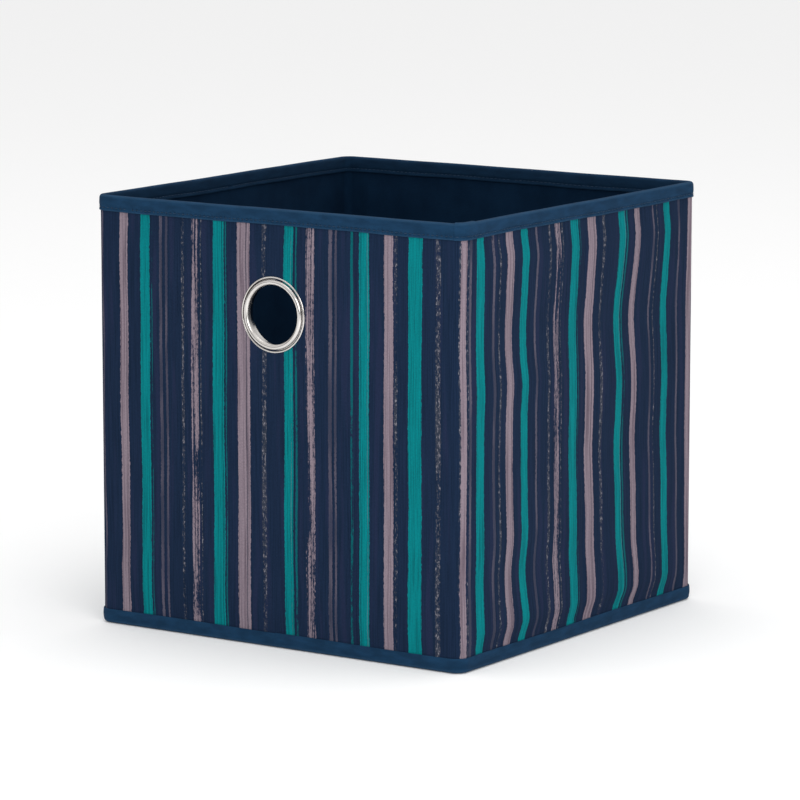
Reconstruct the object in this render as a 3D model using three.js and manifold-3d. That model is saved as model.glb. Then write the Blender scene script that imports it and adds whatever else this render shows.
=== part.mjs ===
// Collapsible fabric storage bin: a cloth shell stiffened by boards, with a loose base insert.
// Millimetres, +Z up. The origin is the centre of the underside, and the front wall faces -Y.
import * as THREE from 'three';
import { mergeVertices } from 'three/addons/utils/BufferGeometryUtils.js';
import Module from 'manifold-3d';

const wasm = await Module();
wasm.setup();

// Driving dimensions
const WIDTH = 280;
const DEPTH = 280;
const HEIGHT = 277;
const CLOTH = 0.5;
const BOARD = 1.6;
const GAP = 0.3;
const FOLD_GAP = 0.5;
const CORNER_RADIUS = 8.8;
const BINDING_HEIGHT = 10;
const BOTTOM_WEB = 10;
const BOARD_TO_CREASE = 5;

// Base insert
const INSERT_BOARD = 2;
const INSERT_CLEARANCE = 6.6;
const INSERT_CORNER = 4;
const INSERT_BOARD_SETBACK = 2;

// Grommet in the front wall
const GROMMET_BELOW_RIM = 66;
const FINGER_HOLE_RADIUS = 18.75;
const BARREL_WALL = 1.2;
const WALL_HOLE_RADIUS = 20.5;
const FLANGE_RADIUS = 24;
const BEAD_RADIUS = 1.8;
const LIP_RADIUS = 0.7;
const WASHER_RADIUS = 23.4;
const WASHER_THICKNESS = 1.5;
const BARREL_SETBACK = 0.4;
const ROUND_STEPS = 36;
const CORNER_STEPS = 6;
const CUTTER_LENGTH = 20;
const CUT_MARGIN = 1;

// Layers of a wall, as distances inward from the outer face of the rim binding
const COVER_INSET = CLOTH + GAP;
const BOARD_INSET = COVER_INSET + CLOTH + GAP;
const LINING_INSET = BOARD_INSET + BOARD + GAP;
const RIM_INNER_INSET = LINING_INSET + CLOTH + GAP;
const RIM_THICKNESS = RIM_INNER_INSET + CLOTH;

// Levels from the floor up
const BOTTOM_CLOTH_LEVEL = CLOTH + GAP;
const FRONT_WALL_LEVEL = BOTTOM_CLOTH_LEVEL + CLOTH + GAP;
const INSERT_BOARD_LEVEL = FRONT_WALL_LEVEL + CLOTH + GAP;
const INSERT_TOP_LEVEL = INSERT_BOARD_LEVEL + INSERT_BOARD + GAP;
const FOLDING_WALL_LEVEL = INSERT_TOP_LEVEL + CLOTH + GAP;
const WALL_TOP = HEIGHT - CLOTH - GAP;
const RIM_LEVEL = HEIGHT - BINDING_HEIGHT;

// Ends of the folding side panels, as distances from the middle of the depth
const PANEL_CORNER_END = DEPTH / 2 - CORNER_RADIUS - FOLD_GAP;
const PANEL_CREASE_END = FOLD_GAP / 2;
const GROMMET_LEVEL = HEIGHT - GROMMET_BELOW_RIM;

const FINISHES = {
  printedCloth: { color: '#1f3050', roughness: 0.92, metalness: 0 },
  liningCloth: { color: '#0c1a2e', roughness: 0.95, metalness: 0 },
  bindingTape: { color: '#1f4a73', roughness: 0.88, metalness: 0 },
  chipboard: { color: '#a38d6c', roughness: 0.85, metalness: 0 },
  brightRing: { color: '#d8d4cc', roughness: 0.16, metalness: 1 },
};

function named(name, geometry, finish) {
  const mesh = new THREE.Mesh(geometry, new THREE.MeshStandardMaterial(FINISHES[finish]));
  mesh.name = name;
  return mesh;
}

// A solid for joining and cutting, with the geometry's shared corners merged
function solidOf(geometry) {
  const bare = geometry.clone();
  bare.deleteAttribute('normal');
  bare.deleteAttribute('uv');
  const merged = mergeVertices(bare);
  return new wasm.Manifold(new wasm.Mesh({
    numProp: 3,
    vertProperties: new Float32Array(merged.attributes.position.array),
    triVerts: new Uint32Array(merged.index.array),
  }));
}

// A geometry with the vertices and triangles of a solid
function geometryOf(solid) {
  const mesh = solid.getMesh();
  const geometry = new THREE.BufferGeometry();
  geometry.setAttribute('position', new THREE.BufferAttribute(mesh.vertProperties, 3));
  geometry.setIndex(new THREE.BufferAttribute(mesh.triVerts, 1));
  return geometry;
}

function cut(geometry, cutter) {
  return geometryOf(solidOf(geometry).subtract(solidOf(cutter)));
}

// A plan shape made solid between two levels
function upright(shape, bottom, top) {
  const options = { depth: top - bottom, bevelEnabled: false, curveSegments: CORNER_STEPS };
  return new THREE.ExtrudeGeometry(shape, options).translate(0, 0, bottom);
}

// Plan of one layer of the front wall: a strip that ends in a quarter turn at each corner
function wallBand(inset, thickness, extraReturn = 0) {
  const x = WIDTH / 2 - CORNER_RADIUS;
  const y = CORNER_RADIUS - DEPTH / 2;
  const outer = CORNER_RADIUS - inset;
  const inner = outer - thickness;
  const shape = new THREE.Shape();
  shape.moveTo(-x - outer, y + extraReturn);
  shape.absarc(-x, y, outer, Math.PI, 1.5 * Math.PI, false);
  shape.absarc(x, y, outer, 1.5 * Math.PI, 2 * Math.PI, false);
  shape.lineTo(x + outer, y + extraReturn);
  shape.lineTo(x + inner, y + extraReturn);
  shape.absarc(x, y, inner, 0, -0.5 * Math.PI, true);
  shape.absarc(-x, y, inner, 1.5 * Math.PI, Math.PI, true);
  shape.lineTo(-x - inner, y + extraReturn);
  shape.closePath();
  return shape;
}

// Plan of a flat layer that lies inside the four walls
function roundedRectangle(halfWidth, halfDepth, radius) {
  const x = halfWidth - radius;
  const y = halfDepth - radius;
  const shape = new THREE.Shape();
  shape.absarc(x, -y, radius, -0.5 * Math.PI, 0, false);
  shape.absarc(x, y, radius, 0, 0.5 * Math.PI, false);
  shape.absarc(-x, y, radius, 0.5 * Math.PI, Math.PI, false);
  shape.absarc(-x, -y, radius, Math.PI, 1.5 * Math.PI, false);
  shape.closePath();
  return shape;
}

// Round cutter for the hole that the grommet's barrel passes through
function grommetCutter() {
  const cutter = new THREE.CylinderGeometry(
    WALL_HOLE_RADIUS, WALL_HOLE_RADIUS, CUTTER_LENGTH, ROUND_STEPS);
  return cutter.translate(0, -DEPTH / 2, GROMMET_LEVEL);
}

// Cover or lining of the front or back wall, with its quarter turns
function endWallCloth(name, finish, inset, bottom, holed) {
  const whole = upright(wallBand(inset, CLOTH), bottom, WALL_TOP);
  const geometry = holed ? cut(whole, grommetCutter()) : whole;
  return named(name, geometry, finish);
}

// Stiff board of the front or back wall, which stops short of the quarter turns
function endWallBoard(name, bottom, holed) {
  const width = WIDTH - 2 * CORNER_RADIUS;
  const height = WALL_TOP - bottom;
  const panel = new THREE.BoxGeometry(width, BOARD, height);
  panel.translate(0, BOARD_INSET + BOARD / 2 - DEPTH / 2, bottom + height / 2);
  const geometry = holed ? cut(panel, grommetCutter()) : panel;
  return named(name, geometry, 'chipboard');
}

// Tape folded over the top edge of the front or back wall, as a channel open downwards
function endWallRim(name) {
  const whole = upright(wallBand(0, RIM_THICKNESS), RIM_LEVEL, HEIGHT);
  const channel = wallBand(CLOTH, RIM_THICKNESS - 2 * CLOTH, CUT_MARGIN);
  const slot = upright(channel, RIM_LEVEL - CUT_MARGIN, HEIGHT - CLOTH);
  return named(name, cut(whole, slot), 'bindingTape');
}

function frontWall() {
  const group = new THREE.Group();
  group.add(
    endWallCloth('front_cover', 'printedCloth', COVER_INSET, FRONT_WALL_LEVEL, true),
    endWallBoard('front_board', FRONT_WALL_LEVEL, true),
    endWallCloth('front_lining', 'liningCloth', LINING_INSET, FRONT_WALL_LEVEL, true),
    endWallRim('front_rim_binding'),
  );
  return group;
}

function backWall() {
  const group = new THREE.Group();
  group.add(
    endWallCloth('back_cover', 'printedCloth', COVER_INSET, FOLDING_WALL_LEVEL, false),
    endWallBoard('back_board', FOLDING_WALL_LEVEL, false),
    endWallCloth('back_lining', 'liningCloth', LINING_INSET, FOLDING_WALL_LEVEL, false),
    endWallRim('back_rim_binding'),
  );
  group.rotation.z = Math.PI;
  return group;
}

// One flat layer of half a right side wall, from its crease to its corner.
// The end is 1 for the rear half and -1 for the front half.
function panelLayer(name, finish, end, inset, thickness, creaseEnd) {
  const length = PANEL_CORNER_END - creaseEnd;
  const height = WALL_TOP - FOLDING_WALL_LEVEL;
  const mesh = named(name, new THREE.BoxGeometry(thickness, length, height), finish);
  mesh.position.set(
    WIDTH / 2 - inset - thickness / 2,
    end * (creaseEnd + length / 2),
    FOLDING_WALL_LEVEL + height / 2,
  );
  return mesh;
}

// Tape folded over the top edge of half a side wall, as a channel open downwards
function panelRim(name, end) {
  const shape = new THREE.Shape();
  shape.moveTo(0, 0);
  shape.lineTo(CLOTH, 0);
  shape.lineTo(CLOTH, BINDING_HEIGHT - CLOTH);
  shape.lineTo(RIM_THICKNESS - CLOTH, BINDING_HEIGHT - CLOTH);
  shape.lineTo(RIM_THICKNESS - CLOTH, 0);
  shape.lineTo(RIM_THICKNESS, 0);
  shape.lineTo(RIM_THICKNESS, BINDING_HEIGHT);
  shape.lineTo(0, BINDING_HEIGHT);
  shape.closePath();
  const length = PANEL_CORNER_END - PANEL_CREASE_END;
  const geometry = new THREE.ExtrudeGeometry(shape, { depth: length, bevelEnabled: false });
  geometry.rotateX(Math.PI / 2).translate(0, length / 2, 0);
  const mesh = named(name, geometry, 'bindingTape');
  mesh.position.set(
    WIDTH / 2 - RIM_THICKNESS,
    end * (PANEL_CREASE_END + length / 2),
    RIM_LEVEL,
  );
  return mesh;
}

// Half a right side wall: the rear half for an end of 1, the front half for -1
function sidePanel(prefix, end) {
  const boardEnd = PANEL_CREASE_END + BOARD_TO_CREASE;
  const group = new THREE.Group();
  group.add(
    panelLayer(`${prefix}_cover`, 'printedCloth', end, COVER_INSET, CLOTH, PANEL_CREASE_END),
    panelLayer(`${prefix}_board`, 'chipboard', end, BOARD_INSET, BOARD, boardEnd),
    panelLayer(`${prefix}_lining`, 'liningCloth', end, LINING_INSET, CLOTH, PANEL_CREASE_END),
    panelRim(`${prefix}_rim_binding`, end),
  );
  return group;
}

function rightWall() {
  const group = new THREE.Group();
  group.add(sidePanel('right_front', -1), sidePanel('right_rear', 1));
  return group;
}

// The left wall is the right wall turned half round, so its front half is built as a rear half
function leftWall() {
  const group = new THREE.Group();
  group.add(sidePanel('left_rear', -1), sidePanel('left_front', 1));
  group.rotation.z = Math.PI;
  return group;
}

// Tape round the bottom edge: a low wall with a web turned under the bottom cloth
function bottomBinding() {
  const outline = roundedRectangle(WIDTH / 2, DEPTH / 2, CORNER_RADIUS);
  const tray = roundedRectangle(
    WIDTH / 2 - CLOTH, DEPTH / 2 - CLOTH, CORNER_RADIUS - CLOTH);
  const window = new THREE.BoxGeometry(
    WIDTH - 2 * BOTTOM_WEB, DEPTH - 2 * BOTTOM_WEB, BINDING_HEIGHT);
  const shell = cut(upright(outline, 0, BINDING_HEIGHT), upright(tray, CLOTH, CUTTER_LENGTH));
  return named('bottom_binding', cut(shell, window), 'bindingTape');
}

// Soft bottom, sewn to the four walls under the binding
function bottomCloth() {
  const outline = roundedRectangle(
    WIDTH / 2 - COVER_INSET, DEPTH / 2 - COVER_INSET, CORNER_RADIUS - COVER_INSET);
  const geometry = upright(outline, BOTTOM_CLOTH_LEVEL, BOTTOM_CLOTH_LEVEL + CLOTH);
  return named('bottom_cloth', geometry, 'liningCloth');
}

// Loose stiff base: a board between two cloth faces
function baseInsert() {
  const halfWidth = WIDTH / 2 - INSERT_CLEARANCE;
  const halfDepth = DEPTH / 2 - INSERT_CLEARANCE;
  const face = roundedRectangle(halfWidth, halfDepth, INSERT_CORNER);
  const board = roundedRectangle(
    halfWidth - INSERT_BOARD_SETBACK,
    halfDepth - INSERT_BOARD_SETBACK,
    INSERT_CORNER - INSERT_BOARD_SETBACK,
  );
  const under = upright(face, FRONT_WALL_LEVEL, FRONT_WALL_LEVEL + CLOTH);
  const middle = upright(board, INSERT_BOARD_LEVEL, INSERT_BOARD_LEVEL + INSERT_BOARD);
  const top = upright(face, INSERT_TOP_LEVEL, INSERT_TOP_LEVEL + CLOTH);
  const group = new THREE.Group();
  group.add(
    named('insert_under_cloth', under, 'liningCloth'),
    named('insert_board', middle, 'chipboard'),
    named('insert_top_cloth', top, 'liningCloth'),
  );
  return group;
}

// Section of the face ring from the end of its barrel, over its bead and lip, and back.
// The first coordinate is the distance from the hole's axis, the second the height off the cover.
function faceRingSection() {
  const barrelRadius = FINGER_HOLE_RADIUS + BARREL_WALL;
  const barrelEnd = LINING_INSET + CLOTH + GAP + WASHER_THICKNESS - BARREL_SETBACK - COVER_INSET;
  const section = new THREE.Path();
  section.moveTo(FINGER_HOLE_RADIUS, -barrelEnd);
  section.lineTo(barrelRadius, -barrelEnd);
  section.lineTo(barrelRadius, GAP);
  section.lineTo(FLANGE_RADIUS, GAP);
  section.absarc(FLANGE_RADIUS - LIP_RADIUS, GAP + LIP_RADIUS, LIP_RADIUS, 0, Math.PI, false);
  section.absarc(
    FINGER_HOLE_RADIUS + BEAD_RADIUS, GAP + LIP_RADIUS, BEAD_RADIUS, 0, Math.PI, false);
  section.closePath();
  return section.getPoints(CORNER_STEPS);
}

// Face ring and the washer that it snaps into behind the lining
function grommet() {
  const face = new THREE.LatheGeometry(faceRingSection(), ROUND_STEPS);
  const washerBore = FINGER_HOLE_RADIUS + BARREL_WALL + GAP;
  const washer = new THREE.Path();
  washer.moveTo(washerBore, 0);
  washer.lineTo(WASHER_RADIUS, 0);
  washer.lineTo(WASHER_RADIUS, WASHER_THICKNESS);
  washer.lineTo(washerBore, WASHER_THICKNESS);
  washer.closePath();
  const back = new THREE.LatheGeometry(washer.getPoints(), ROUND_STEPS);
  const washerDepth = COVER_INSET - LINING_INSET - CLOTH - GAP - WASHER_THICKNESS;
  const group = new THREE.Group();
  group.add(
    named('grommet_face_ring', face, 'brightRing'),
    named('grommet_back_ring', back.translate(0, washerDepth, 0), 'brightRing'),
  );
  group.position.set(0, COVER_INSET - DEPTH / 2, GROMMET_LEVEL);
  group.rotation.z = Math.PI;
  return group;
}

const bin = new THREE.Group();
bin.name = 'fabric_storage_bin';
bin.add(
  frontWall(),
  backWall(),
  rightWall(),
  leftWall(),
  bottomBinding(),
  bottomCloth(),
  baseInsert(),
  grommet(),
);

export default bin;
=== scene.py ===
import math

import bpy
import numpy as np
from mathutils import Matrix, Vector


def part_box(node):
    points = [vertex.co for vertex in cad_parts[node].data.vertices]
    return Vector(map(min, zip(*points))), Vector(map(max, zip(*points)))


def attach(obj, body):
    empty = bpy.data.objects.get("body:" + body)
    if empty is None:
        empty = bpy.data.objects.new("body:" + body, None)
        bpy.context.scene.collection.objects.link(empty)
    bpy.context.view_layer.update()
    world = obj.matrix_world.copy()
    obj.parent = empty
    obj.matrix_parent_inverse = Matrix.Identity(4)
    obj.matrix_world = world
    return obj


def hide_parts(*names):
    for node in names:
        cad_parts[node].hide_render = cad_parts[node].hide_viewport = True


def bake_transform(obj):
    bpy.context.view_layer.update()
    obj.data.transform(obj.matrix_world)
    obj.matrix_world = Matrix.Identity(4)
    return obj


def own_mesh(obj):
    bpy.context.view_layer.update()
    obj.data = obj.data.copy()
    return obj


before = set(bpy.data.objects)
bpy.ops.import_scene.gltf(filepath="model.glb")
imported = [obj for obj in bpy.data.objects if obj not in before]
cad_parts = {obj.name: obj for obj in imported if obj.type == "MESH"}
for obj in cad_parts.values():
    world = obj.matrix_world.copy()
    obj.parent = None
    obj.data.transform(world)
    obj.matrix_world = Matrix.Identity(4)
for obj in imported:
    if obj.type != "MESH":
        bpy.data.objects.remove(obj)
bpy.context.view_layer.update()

MM = 0.001

# Outline and heights of the bin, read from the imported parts, and the thickness of its cloths
FRONT_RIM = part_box("front_rim_binding")
FRONT_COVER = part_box("front_cover")
HALF = FRONT_RIM[1].x
RADIUS = FRONT_RIM[1].y + HALF
STRAIGHT = HALF - RADIUS
TOP = FRONT_RIM[1].z
RIM_LEVEL = FRONT_RIM[0].z
RIM_THICKNESS = 4.8 * MM
CLOTH = 0.5 * MM
COVER_INSET = HALF - FRONT_COVER[1].x
LINING_INSET = RIM_THICKNESS - 0.8 * MM
WALL_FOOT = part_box("right_front_cover")[0].z
WALL_TOP = FRONT_COVER[1].z
BINDING_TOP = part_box("bottom_binding")[1].z

# Distance round the bin: each side is a straight stretch and then a quarter turn
ARC = (RADIUS - COVER_INSET) * math.pi / 2
BLOCK = 2 * STRAIGHT + ARC
HALF_WAY = 2 * BLOCK
NORMALS = np.array([(0, -1), (1, 0), (0, 1), (-1, 0)], float)
DIRECTIONS = np.array([(1, 0), (0, 1), (-1, 0), (0, -1)], float)

# How far the cloth's bend reaches to each side of a corner and of the right crease, and how far
# from the left crease the cover lies close to its board
CREASE_REACH = 4.5 * MM
LEFT_CREASE_REACH = 12 * MM

# Each strip of cloth crosses one fold: its two bodies, its ends round the bin, the fold's place in
# plan and the direction across it. The strips part on the flat of the front and right walls, at the
# middle of the back wall and at the left wall's crease.
FRONT_PART = -113 * MM
RIGHT_PART = 196 * MM
REAR_PART = 345 * MM
STRIPS = {
    "front_right": ("front", "right_front", FRONT_PART, RIGHT_PART, (1, -1), (1, 1)),
    "right_crease": ("right_front", "right_rear", RIGHT_PART, REAR_PART, (1, 0), (0, 1)),
    "back_right": ("right_rear", "back", REAR_PART, HALF_WAY, (1, 1), (-1, 1)),
    "back_left": ("back", "left_rear", HALF_WAY, 3 * BLOCK, (-1, 1), (-1, -1)),
    "front_left": ("left_front", "front", -BLOCK, FRONT_PART, (-1, -1), (1, -1)),
}

# The bodies whose CAD nodes each strip stands for
STANDS_FOR = {
    "front_right": ("front", "right_front"),
    "right_crease": ("right_rear",),
    "back_right": ("back",),
    "back_left": ("left_rear",),
    "front_left": ("left_front",),
}

# Grommet
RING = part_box("grommet_face_ring")
RING_LEVEL = (RING[0].z + RING[1].z) / 2
RING_RADIUS = (RING[1].z - RING[0].z) / 2
HOLE_RADIUS = 18.75 * MM
CLOTH_HOLE = 20.8 * MM


# ---------------------------------------------------------------- shape of the cloth

def wall_points(u, inset, z):
    """Points at distances u round the bin, inset from its outer face and at heights z."""
    s = np.asarray(u, float) + STRAIGHT
    side = np.floor(s / BLOCK).astype(int)
    s = s - BLOCK * side
    side = side % 4
    along = np.minimum(s, 2 * STRAIGHT) - STRAIGHT
    turn = np.maximum(s - 2 * STRAIGHT, 0) / ARC * math.pi / 2
    normal = NORMALS[side]
    direction = DIRECTIONS[side]
    outward = np.cos(turn)[..., None] * normal + np.sin(turn)[..., None] * direction
    centre = normal * STRAIGHT + direction * along[..., None]
    flat = centre + outward * (RADIUS - np.asarray(inset))[..., None]
    return np.concatenate([flat, z[..., None]], -1)


def side_of(u):
    """Which wall a point is on, 0 to 3 from the front, and how far from that wall's middle."""
    s = np.asarray(u, float) + STRAIGHT + ARC / 2
    side = np.floor(s / BLOCK).astype(int)
    return side % 4, s - BLOCK * side - BLOCK / 2


def ease(distance, reach):
    """Rises smoothly from 0 to 1 over the reach."""
    t = np.clip(np.asarray(distance, float) / reach, 0, 1)
    return t * t * (3 - 2 * t)


def bell(distance, reach):
    """A smooth hump that is 1 at no distance and about a third at the reach."""
    return np.exp(-(distance / reach) ** 2)


def wave(position, length, phase=0.0):
    return np.sin(2 * math.pi * position / length + phase)


# Slack folds that run along the side walls: depth below the rim, reach and push, in millimetres.
# Each set is strongest at a place along the wall, counted from the wall's middle in the direction
# round the bin, and fades over a reach. The left wall's folds lie higher than the right wall's.
FRONT_PLACE, FRONT_REACH = -74 * MM, 44 * MM
REAR_PLACE, REAR_REACH = 55 * MM, 75 * MM
LEFT_WALL_RISE = 31 * MM
FRONT_FOLDS = [(25, 14, 1.2), (72, 24, -2.6), (105, 12, 1.8), (200, 18, 1.2), (222, 13, -2.2),
               (254, 12, 2.6), (270, 7, -2.4)]
REAR_FOLDS = [(0, 45, 5.0), (78, 26, -4.5), (160, 24, -2.5), (250, 22, 4.5), (270, 8, -4.6)]


def fold_sum(depth, folds):
    return sum(push * MM * bell(depth / MM - at, reach) for at, reach, push in folds)


def sway(u, z):
    """How far, in metres, the slack folds push the side walls' cloth out and drag its print."""
    total = 0
    for middle, rise in ((BLOCK, 0), (3 * BLOCK, LEFT_WALL_RISE)):
        r = (u - middle + HALF_WAY) % (2 * HALF_WAY) - HALF_WAY
        depth = TOP - z + rise
        total = total + fold_sum(depth, REAR_FOLDS) * bell(r - REAR_PLACE, REAR_REACH)
        total = total + fold_sum(depth, FRONT_FOLDS) * bell(r - FRONT_PLACE, FRONT_REACH)
    return total + 0.3 * MM * wave(z, 130 * MM, 4 * wave(u, 310 * MM))


def print_shift(u, z):
    """How far the printed strokes wander sideways at a point."""
    return -0.66 * sway(u, z)


def no_shift(u, z):
    return 0 * u


# The cloth's faint lumps: length in millimetres, lean in radians, and phase
LUMPS = [(61, 0.3, 0.4), (43, -0.5, 2.9), (33, 1.1, 4.4), (27, -1.3, 1.2), (21, 0.7, 5.1)]


def unevenness(u, z):
    """The sum of the lumps, from about -1 to 1."""
    total = 0
    for length, lean, phase in LUMPS:
        along = u * math.cos(lean) + z * math.sin(lean)
        across = z * math.cos(lean) - u * math.sin(lean)
        warp = 1.5 * wave(across, 2.3 * length * MM, phase)
        total = total + wave(along, length * MM, phase + warp) / 4
    return total


# How far the swell of the cover and of the lining takes to rise from a corner, the foot and the rim
COVER_RISE = (24 * MM, 13 * MM, 20 * MM)
LINING_RISE = (30 * MM, 30 * MM, 18 * MM)
CREASE_DEPTH = 0.7 * MM
LINING_CREASE_DEPTH = 0.5 * MM


def cover_relief(u, z):
    """How far the outer cover stands off its board."""
    side, t = side_of(u)
    from_corner, from_foot, from_rim = COVER_RISE
    corner = ease(STRAIGHT - np.abs(t), from_corner)
    seams = ease(z - BINDING_TOP, from_foot) * ease(RIM_LEVEL - z, from_rim)
    pillow = np.where(side % 2 == 1, 1.3, 0.7) * MM * corner * seams
    slack = (0.22 * sway(u, z) + 0.16 * MM * unevenness(u, z)) * corner * seams
    crease = bell(t, 2.6 * MM) * CREASE_DEPTH * (side % 2)
    relief = pillow + slack + puckers(u, z) - crease * seams
    left = side == 3
    return np.where(left, np.clip(relief, 0, None) * ease(np.abs(t), LEFT_CREASE_REACH), relief)


def puckers(u, z):
    """Small gathers in the cloth beside the two sewn edges."""
    gather = wave(u, 9.3 * MM, 2 * wave(u, 61 * MM)) + 0.6 * wave(u, 5.7 * MM, 3 * wave(u, 83 * MM))
    near_rim = np.exp(-np.clip(RIM_LEVEL - z, 0, None) / (7 * MM))
    near_foot = np.exp(-np.clip(z - BINDING_TOP, 0, None) / (6 * MM))
    patchy = 0.55 + 0.45 * wave(u, 134 * MM, 1.0)
    return (0.10 + 0.07 * gather * patchy) * MM * (near_rim + near_foot)


def lining_relief(u, z):
    """How far the lining stands off its board, into the bin."""
    side, t = side_of(u)
    from_corner, from_foot, from_rim = LINING_RISE
    edge = STRAIGHT - np.abs(t)
    corner = ease(edge, from_corner)
    seams = ease(z - WALL_FOOT, from_foot) * ease(RIM_LEVEL - z, from_rim)
    broad = wave(u, 71 * MM, 1.3 * wave(z, 190 * MM))
    slack = 0.45 + 0.35 * broad + 0.2 * wave(z, 96 * MM, u / (40 * MM))
    folds = bell(edge - 13 * MM, 5 * MM) * (0.6 + 0.4 * wave(z, 160 * MM, side * 1.9))
    crease = bell(t, 3 * MM) * LINING_CREASE_DEPTH * (side % 2)
    return (1.1 * slack * corner + 1.7 * folds) * MM * seams - crease * seams


def stations(start, end, step):
    """Distances round the bin from start to end, closer together at the corners and creases."""
    marks = {start, end}
    fine_step = 0.55 * MM
    closest = 0.2 * MM
    for turn in range(-1, 5):
        for middle, reach in ((turn * BLOCK, CREASE_REACH), (turn * BLOCK + BLOCK / 2, ARC / 2)):
            if start - reach < middle < end + reach:
                count = int(round(reach / fine_step))
                marks.update(middle + reach * k / count for k in range(-count, count + 1))
    fine = sorted(m for m in marks if start - 1e-9 <= m <= end + 1e-9)
    found = [fine[0]]
    for mark in fine[1:]:
        last = found[-1]
        if mark - last < closest and mark != fine[-1]:
            continue
        count = max(1, int(round((mark - last) / step)))
        found.extend(last + (mark - last) * k / count for k in range(1, count + 1))
    return np.array(found)


def levels(step, fine_step, reach):
    """Heights up a wall, closer together beside its two sewn edges."""
    lower = np.arange(WALL_FOOT, WALL_FOOT + reach, fine_step)
    upper = WALL_TOP - np.arange(0, reach, fine_step)[::-1]
    count = max(2, int(round((upper[0] - lower[-1]) / step)))
    return np.concatenate([lower, np.linspace(lower[-1], upper[0], count + 1)[1:-1], upper])


# ---------------------------------------------------------------- meshes

SHARP_TURN = 50


def make_object(name, points, faces, cloth_at=None):
    """A smooth mesh with sharp edges where it turns hard, and each point's place on its cloth."""
    mesh = bpy.data.meshes.new(name)
    mesh.from_pydata([tuple(p) for p in points], [], [tuple(f) for f in faces])
    if cloth_at is not None:
        layer = mesh.attributes.new("cloth_at", "FLOAT_VECTOR", "POINT")
        layer.data.foreach_set("vector", np.asarray(cloth_at, np.float32).ravel())
    mesh.polygons.foreach_set("use_smooth", [True] * len(mesh.polygons))
    mesh.set_sharp_from_angle(angle=math.radians(SHARP_TURN))
    mesh.update()
    obj = bpy.data.objects.new(name, mesh)
    bpy.context.scene.collection.objects.link(obj)
    return obj


def shell(name, us, vs, place, closed=False, hole=None):
    """A closed sheet over a grid of us and vs. place(u, v, depth) gives points on its outer face
    at depth 0 and on its inner face at depth 1, and the cloth's own coordinates there."""
    rows, columns = len(vs), len(us)
    u, v = np.meshgrid(us, vs)
    kept = np.ones((rows - 1, columns if closed else columns - 1), bool)
    if hole:
        u, v, kept = open_hole(u, v, kept, *hole)
    return slab(name, kept, *place(u, v, 0), *place(u, v, 1))


def slab(name, kept, outer, outer_cloth, inner, inner_cloth):
    """A closed piece between two grids of points, walled in round its edges. kept says which of
    the grid's cells have faces, and a row of as many cells as points goes right round."""
    rows, columns = outer.shape[:2]
    count = rows * columns

    def at(row, column):
        return row * columns + column % columns

    faces = []
    edges = {}
    for row, column in zip(*np.nonzero(kept)):
        quad = (at(row, column), at(row, column + 1), at(row + 1, column + 1), at(row + 1, column))
        faces.append(quad)
        faces.append(tuple(count + i for i in reversed(quad)))
        for a, b in zip(quad, quad[1:] + quad[:1]):
            if (b, a) in edges:
                del edges[(b, a)]
            else:
                edges[(a, b)] = True
    faces.extend((b, a, a + count, b + count) for a, b in edges)
    points = np.concatenate([outer.reshape(-1, 3), inner.reshape(-1, 3)])
    cloth = np.concatenate([outer_cloth.reshape(-1, 3), inner_cloth.reshape(-1, 3)])
    return make_object(name, *without_loose(points, faces, cloth))


def open_hole(u, v, kept, middle_u, middle_v, radius):
    """Leaves out the faces inside a circle and draws the edge that is left onto the circle."""
    centre_u = (u[:-1, :-1] + u[1:, 1:]) / 2 - middle_u
    centre_v = (v[:-1, :-1] + v[1:, 1:]) / 2 - middle_v
    kept = kept & (np.hypot(centre_u, centre_v) > radius)
    touched = np.zeros(u.shape, int)
    for rows, columns in ((slice(0, -1), slice(0, -1)), (slice(1, None), slice(0, -1)),
                          (slice(0, -1), slice(1, None)), (slice(1, None), slice(1, None))):
        touched[rows, columns] += kept
    reach = np.hypot(u - middle_u, v - middle_v)
    nearby = radius * 1.4
    rim = (touched > 0) & (touched < 4) & (reach < nearby)
    scale = np.where(rim, radius / np.maximum(reach, 1e-9), 1)
    return middle_u + (u - middle_u) * scale, middle_v + (v - middle_v) * scale, kept


def without_loose(points, faces, cloth):
    """Drops the points that no face uses."""
    used = np.unique(np.concatenate([np.asarray(f) for f in faces]))
    renumber = np.full(len(points), -1)
    renumber[used] = np.arange(len(used))
    return points[used], [tuple(int(renumber[i]) for i in f) for f in faces], cloth[used]


def bend(obj):
    """Bakes the piece's placement into its points."""
    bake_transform(obj)


def wall_sheet(name, strip, rows, step, inset, relief, shift, inward):
    """Cover or lining over one strip of the walls. relief moves it off the wall and shift slides
    its print sideways."""
    body_a, body_b, start, end, _, _ = STRIPS[strip]
    facing = 1 if inward else -1

    def place(u, v, depth):
        depth_inset = inset - facing * depth * CLOTH
        cloth = np.stack([u + shift(u, v), v, np.full_like(u, depth)], -1)
        return wall_points(u, depth_inset + facing * relief(u, v), v), cloth

    us = stations(start, end, step)
    if inward:
        us = us[::-1]
    hole = (0, RING_LEVEL, CLOTH_HOLE) if strip == "front_right" else None
    obj = shell(name, us, rows, place, hole=hole)
    return obj


def build_cover(strip):
    rows = levels(step=3.2 * MM, fine_step=1.6 * MM, reach=26 * MM)
    return wall_sheet(f"cover_{strip}", strip, rows, step=2.4 * MM, inset=COVER_INSET,
                      relief=cover_relief, shift=print_shift, inward=False)


def build_lining(strip):
    rows = levels(step=6 * MM, fine_step=3 * MM, reach=24 * MM)
    return wall_sheet(f"lining_{strip}", strip, rows, step=4 * MM, inset=LINING_INSET,
                      relief=lining_relief, shift=no_shift, inward=True)


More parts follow.
